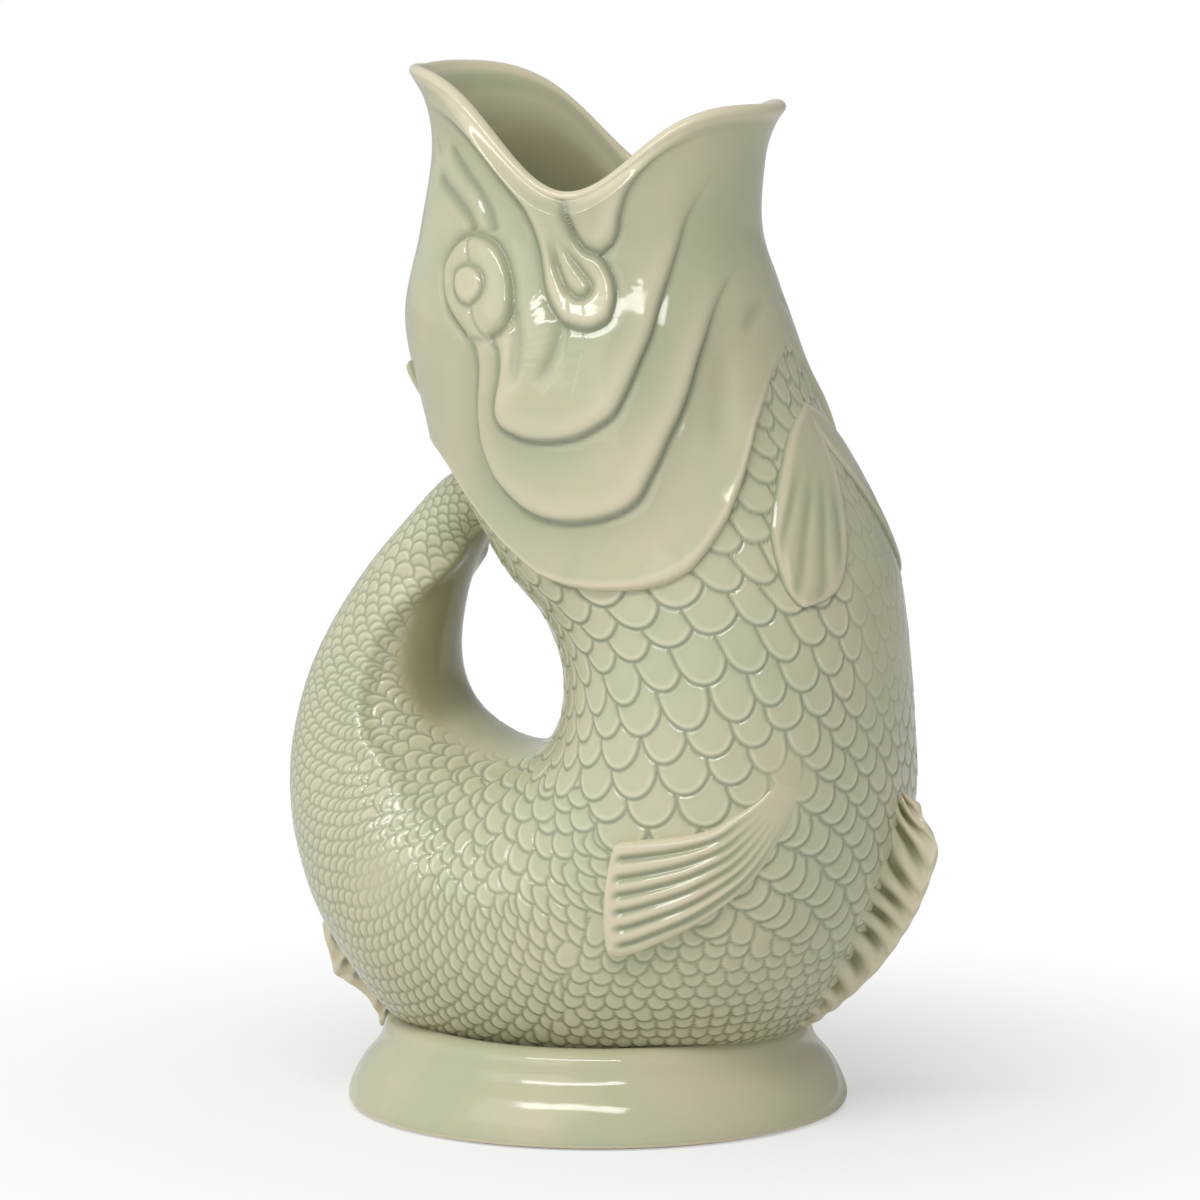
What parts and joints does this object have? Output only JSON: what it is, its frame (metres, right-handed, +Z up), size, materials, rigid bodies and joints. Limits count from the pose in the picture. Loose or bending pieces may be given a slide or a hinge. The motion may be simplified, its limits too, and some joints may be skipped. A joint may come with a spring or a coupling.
{
  "type": "gurgle jug",
  "caption": "Fish-shaped ceramic water jug with an open mouth for a spout and a hollow curled tail for a handle, on a round foot.",
  "frame": {"origin": "middle of the foot ring's underside, on the table", "axes": "+Z up; +X towards the spout and belly; -X towards the tail handle; both sides of the XZ plane alike"},
  "size_m": [0.1613, 0.118, 0.2455],
  "materials": {
    "glaze": "gloss",
    "bare_clay": "matte"
  },
  "bodies": {
    "root": {"body_shell": "glaze", "tail_handle": "glaze", "tail_fin": "glaze", "pedestal": "glaze", "foot_ring": "bare_clay", "right_gill_cover": "glaze", "left_gill_cover": "glaze", "right_eye": "glaze", "left_eye": "glaze", "right_lip_fold": "glaze", "left_lip_fold": "glaze", "right_side_fin": "glaze", "left_side_fin": "glaze", "right_throat_fin": "glaze", "left_throat_fin": "glaze", "belly_fin": "glaze", "rear_fin": "glaze"}
  },
  "joints": []
}
